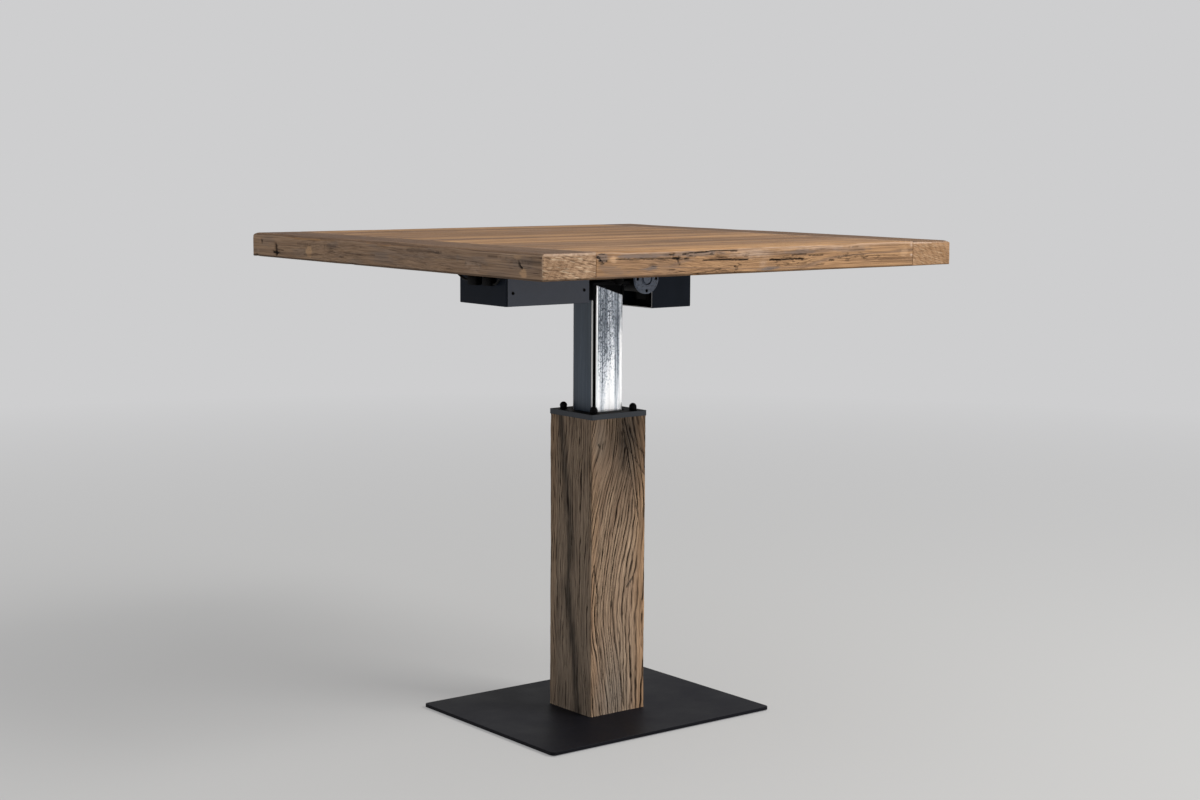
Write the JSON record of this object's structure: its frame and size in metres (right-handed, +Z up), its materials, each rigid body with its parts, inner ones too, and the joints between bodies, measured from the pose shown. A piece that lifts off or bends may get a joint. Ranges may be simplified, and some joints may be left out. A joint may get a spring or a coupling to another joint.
{
  "type": "telescoping pedestal table",
  "caption": "Square plank tabletop on a timber post over a dark steel foot plate, raised by a motor-driven telescoping steel column with control and supply units under the top.",
  "frame": {"origin": "centre of the footprint on the floor", "axes": "+Z up, +X along the planks of the top towards the supply unit, +Y away from the side that carries the guide rail"},
  "size_m": [0.9, 0.9, 0.875],
  "materials": {
    "top_oak": "matte",
    "tongue_wood": "matte",
    "post_oak": "matte",
    "blackened_steel": "satin",
    "black_steel": "satin",
    "tube_paint": "satin",
    "galvanised": "satin",
    "bright_steel": "satin",
    "bronze": "satin",
    "glide_plastic": "matte",
    "cast_housing": "satin",
    "cover_grey": "matte",
    "unit_case": "matte",
    "unit_cover": "matte",
    "black_plastic": "matte",
    "key_plastic": "matte",
    "lead_rubber": "matte",
    "board": "satin",
    "core_steel": "satin",
    "coil_tape": "satin",
    "foot_rubber": "matte",
    "contact_brass": "polished"
  },
  "bodies": {
    "pedestal": {"floor_pads": "foot_rubber", "base_plate": "blackened_steel", "post": "post_oak", "cap_plate": "black_steel", "tie_rods": "bright_steel", "cap_nuts": "black_steel", "guide_tube": "black_steel", "upper_glide": "glide_plastic", "push_tube": "bright_steel", "push_tube_foot": "bright_steel", "foot_screws": "bright_steel", "spindle_nut": "bronze"},
    "table": {"lift_tube": "tube_paint", "guide_rail": "galvanised", "lower_glide": "glide_plastic", "head_bracket": "black_steel", "bracket_screws": "black_steel", "bearing_plate": "bright_steel", "spindle_bearing": "bright_steel", "gear_housing": "cast_housing", "worm_cap": "cover_grey", "worm_cap_screws": "black_steel", "motor_body": "black_steel", "motor_gland": "black_plastic", "mounting_frame": "black_steel", "frame_screws": "bright_steel", "lug_screws": "bright_steel", "control_case": "unit_case", "control_cover": "unit_cover", "control_cover_screws": "black_steel", "circuit_board": "board", "switch_lead": "lead_rubber", "motor_lead": "lead_rubber", "lead_clips": "black_plastic", "supply_case": "unit_case", "case_screws": "bright_steel", "transformer_core": "core_steel", "transformer_coil": "coil_tape", "mains_inlet": "black_plastic", "inlet_pins": "contact_brass", "switch_case": "black_plastic", "switch_screws": "bright_steel", "motor_plug": "black_plastic", "switch_plug": "black_plastic", "plank_1": "top_oak", "plank_2": "top_oak", "plank_3": "top_oak", "plank_4": "top_oak", "plank_5": "top_oak", "plank_6": "top_oak", "border_plank_left": "top_oak", "border_plank_right": "top_oak", "border_tongues": "tongue_wood", "plank_tongues": "tongue_wood"},
    "spindle": {"spindle": "bright_steel"},
    "up_button": {"up_key": "key_plastic"},
    "down_button": {"down_key": "key_plastic"}
  },
  "joints": [
    {"name": "lift", "type": "slide", "parent": "pedestal", "child": "table", "axis": [0, 0, 1], "range_m": [-0.155, 0.245]},
    {"name": "spindle_spin", "type": "hinge", "parent": "table", "child": "spindle", "pos_m": [0, 0.00225, 0], "axis": [0, 0, 1], "range_deg": [-6980, 11030]},
    {"name": "up_press", "type": "slide", "parent": "table", "child": "up_button", "axis": [-1, 0, 0], "range_m": [0, 0.0015], "stiffness_N_per_m": 600, "springref_m": -0.002},
    {"name": "down_press", "type": "slide", "parent": "table", "child": "down_button", "axis": [-1, 0, 0], "range_m": [0, 0.0015], "stiffness_N_per_m": 600, "springref_m": -0.002}
  ],
  "couplings": [
    {"joint": "spindle_spin", "follows": "lift", "rad_per_m": 785.4}
  ]
}
